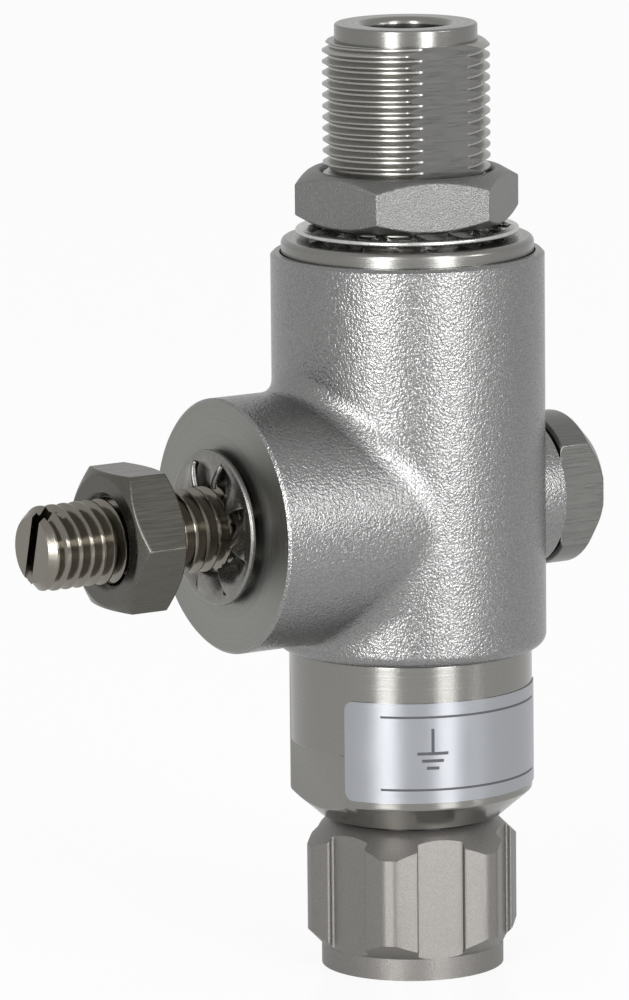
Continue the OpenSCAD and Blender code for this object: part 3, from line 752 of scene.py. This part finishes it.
PRINT_T = 0.006
RULE = 0.22
RULE_REACH = 9.6
RULE_RISE = 3.5
EARTH_X = -4.6
EARTH_LINE, EARTH_STEM, EARTH_STEP = 0.3, 2.4, 0.7
EARTH_WIDTH, EARTH_NARROWER = 3.0, 0.9
bars = [((0, LABEL_MID + side * RULE_RISE), 2 * RULE_REACH, RULE) for side in (-1, 1)]
bars += [((EARTH_X, LABEL_MID + EARTH_STEM / 2), EARTH_LINE, EARTH_STEM)]
bars += [((EARTH_X, LABEL_MID - EARTH_STEP * i), EARTH_WIDTH - EARTH_NARROWER * i, EARTH_LINE)
         for i in range(3)]
plates = [flat_plate(f"print_{i}", centre, width, height, PRINT_T)
          for i, (centre, width, height) in enumerate(bars)]
choose(plates[0])
for plate in plates:
    plate.select_set(True)
bpy.ops.object.join()
label_print = bpy.context.object
label_print.name = label_print.data.name = "label_print"
wrap(label_print, LABEL_R)
dress(label_print, "arrestor", label_ink)

# %% [markdown]
# ## Inside
# With the cap drawn out, its spring and gas tube show. The spring is a circle of wire on a Screw
# modifier. The rest of the inside keeps its solids and gets its own finishes.

# %% Wind the spring
spring_low, spring_high = (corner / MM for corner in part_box("cap_spring"))
WIRE_R = 0.25
WIRE_SIDES, COIL_STEPS = 12, 48
COIL_R = (spring_high.y - spring_low.y) / 2 - WIRE_R
TURNS = 3
rise = (spring_high.x - spring_low.x - 2 * WIRE_R) / TURNS
wire = [(COIL_R + WIRE_R * math.cos(a), spring_low.x + WIRE_R + WIRE_R * math.sin(a))
        for a in (math.tau * i / WIRE_SIDES for i in range(WIRE_SIDES))]
spring = outline_piece("tube_spring", wire, "X")
apply(spring, "SCREW", axis="X", angle=math.tau, steps=COIL_STEPS, render_steps=COIL_STEPS,
      iterations=TURNS, screw_offset=rise * MM, use_merge_vertices=True, merge_threshold=MERGE)
edit(spring)
bpy.ops.mesh.fill_holes(sides=len(wire))
close_up(spring)
lift_to_cross_axis(spring)
shade(spring)
dress(spring, "screw_cap", washer_metal, ["cap_spring"])

# %% Give the other solids their finishes
inside = {"jack_insulator": insulator_white, "jack_contact": gold, "line_conductor": gold,
          "plug_insulator": insulator_white, "plug_pin": gold, "plug_gasket": gasket_red,
          "retaining_ring": washer_metal, "cap_seal": seal_black, "tube_ceramic": ceramic_white,
          "tube_inner_electrode": electrode_metal, "tube_outer_electrode": electrode_metal}
for node, material in inside.items():
    nodes[node].data.materials.clear()
    nodes[node].data.materials.append(material)
print("inside pieces:", len(inside))

# %% [markdown]
# ## The studio
# The floor is plain, pale and a little glossy. Its material mixes in white for the camera, and a little
# for mirrored rays, so that the background is white without more light on the object. Two upright strip
# lights stand at the camera's left and right and draw the two long highlights on every turned wall. A
# small softbox lights the side away from the stud, and the plain world fills the rest.

# %% Floor, lights and world
bpy.context.scene.view_settings.view_transform = "Standard"
FLOOR_SIZE = 12
FLOOR_TONE, FLOOR_ROUGHNESS = (0.8, 0.8, 0.8), 0.15
WHITE_FOR_CAMERA, WHITE_FOR_MIRRORS = 0.88, 0.3
clear_selection()
bpy.ops.mesh.primitive_plane_add(size=FLOOR_SIZE)
floor = bpy.context.object
floor.name = "floor"
pale_floor = finish("pale_floor", FLOOR_TONE, FLOOR_ROUGHNESS, metallic=0)
white = add(pale_floor, "Emission")
paths = add(pale_floor, "LightPath")
to_eye = add(pale_floor, "Math", operation="MULTIPLY")
to_eye.inputs[1].default_value = WHITE_FOR_CAMERA
mirrored = add(pale_floor, "Math", operation="MAXIMUM")
share = add(pale_floor, "Math", operation="MULTIPLY_ADD")
share.inputs[1].default_value = WHITE_FOR_MIRRORS
both = add(pale_floor, "MixShader")
link(pale_floor, paths.outputs["Is Camera Ray"], to_eye.inputs[0])
link(pale_floor, paths.outputs["Is Glossy Ray"], mirrored.inputs[0])
link(pale_floor, paths.outputs["Is Transmission Ray"], mirrored.inputs[1])
link(pale_floor, mirrored.outputs["Value"], share.inputs[0])
link(pale_floor, to_eye.outputs["Value"], share.inputs[2])
link(pale_floor, share.outputs["Value"], both.inputs["Fac"])
link(pale_floor, shader_of(pale_floor).outputs["BSDF"], both.inputs[1])
link(pale_floor, white.outputs["Emission"], both.inputs[2])
link(pale_floor, both.outputs["Shader"], pale_floor.node_tree.nodes["Material Output"].inputs["Surface"])
floor.data.materials.append(pale_floor)

CAMERA_AZ = -32.575
SPREAD = math.radians(120)


def towards(azimuth):
    """Level unit vector at an angle in degrees from -Y towards +X."""
    a = math.radians(azimuth)
    return Vector((math.sin(a), -math.cos(a), 0))


def softbox(name, place, aim, width, height, radiance):
    lamp = bpy.data.lights.new(name, "AREA")
    lamp.shape = "RECTANGLE"
    lamp.size, lamp.size_y = width, height
    lamp.energy = radiance * math.pi * width * height
    lamp.spread = SPREAD
    light = bpy.data.objects.new(name, lamp)
    bpy.context.scene.collection.objects.link(light)
    light.location = place
    light.rotation_euler = (aim - place).to_track_quat("-Z", "Y").to_euler()
    light.visible_camera = False


LAMP_DISTANCE = 0.65
STRIP_SIZE = (0.19, 0.7)
# Each strip: its side, its turn from the camera in degrees, and its radiance.
STRIPS = (("left", -23, 4.8), ("right", 34, 4.3))
SIDE_TURN, SIDE_HEIGHT, SIDE_SIZE, SIDE_RADIANCE = 65, 0.23, (0.12, 0.2), 3.0
WORLD_TONE = (0.75, 0.75, 0.75)
for side, turn, radiance in STRIPS:
    place = towards(CAMERA_AZ + turn) * LAMP_DISTANCE + Vector((0, 0, STRIP_SIZE[1] / 2))
    softbox("strip_" + side, place, Vector((0, 0, place.z)), *STRIP_SIZE, radiance)
place = towards(CAMERA_AZ + SIDE_TURN) * LAMP_DISTANCE + Vector((0, 0, SIDE_HEIGHT))
softbox("low_side", place, Vector((0, 0, CROSS_Z * MM)), *SIDE_SIZE, SIDE_RADIANCE)
world = bpy.data.worlds.new("studio")
bpy.context.scene.world = world
world.use_nodes = True
world.node_tree.nodes["Background"].inputs["Color"].default_value = (*WORLD_TONE, 1)

# %% [markdown]
# ## The camera
# The camera stands a little above the arrestor, on the side of the stud, with a long lens, as the
# picture's nearly parallel edges show.

# %% Set up the camera
CAMERA_DISTANCE = 0.75
CAMERA_HEIGHT = 0.18306
AIM_RIGHT, AIM_HEIGHT = -9.026 * MM, 45.04 * MM
CAMERA_ROLL = math.radians(-0.567)
LENS, SENSOR = 288.2, 36
camera_data = bpy.data.cameras.new("camera")
camera_data.lens = LENS
camera_data.sensor_width = SENSOR
camera = bpy.data.objects.new("camera", camera_data)
bpy.context.scene.collection.objects.link(camera)
camera.location = towards(CAMERA_AZ) * CAMERA_DISTANCE + Vector((0, 0, CAMERA_HEIGHT))
aim = towards(CAMERA_AZ + 90) * AIM_RIGHT + Vector((0, 0, AIM_HEIGHT))
turn = (aim - camera.location).to_track_quat("-Z", "Y")
camera.rotation_euler = (turn.to_matrix() @ Matrix.Rotation(CAMERA_ROLL, 3, "Z")).to_euler()
bpy.context.scene.camera = camera
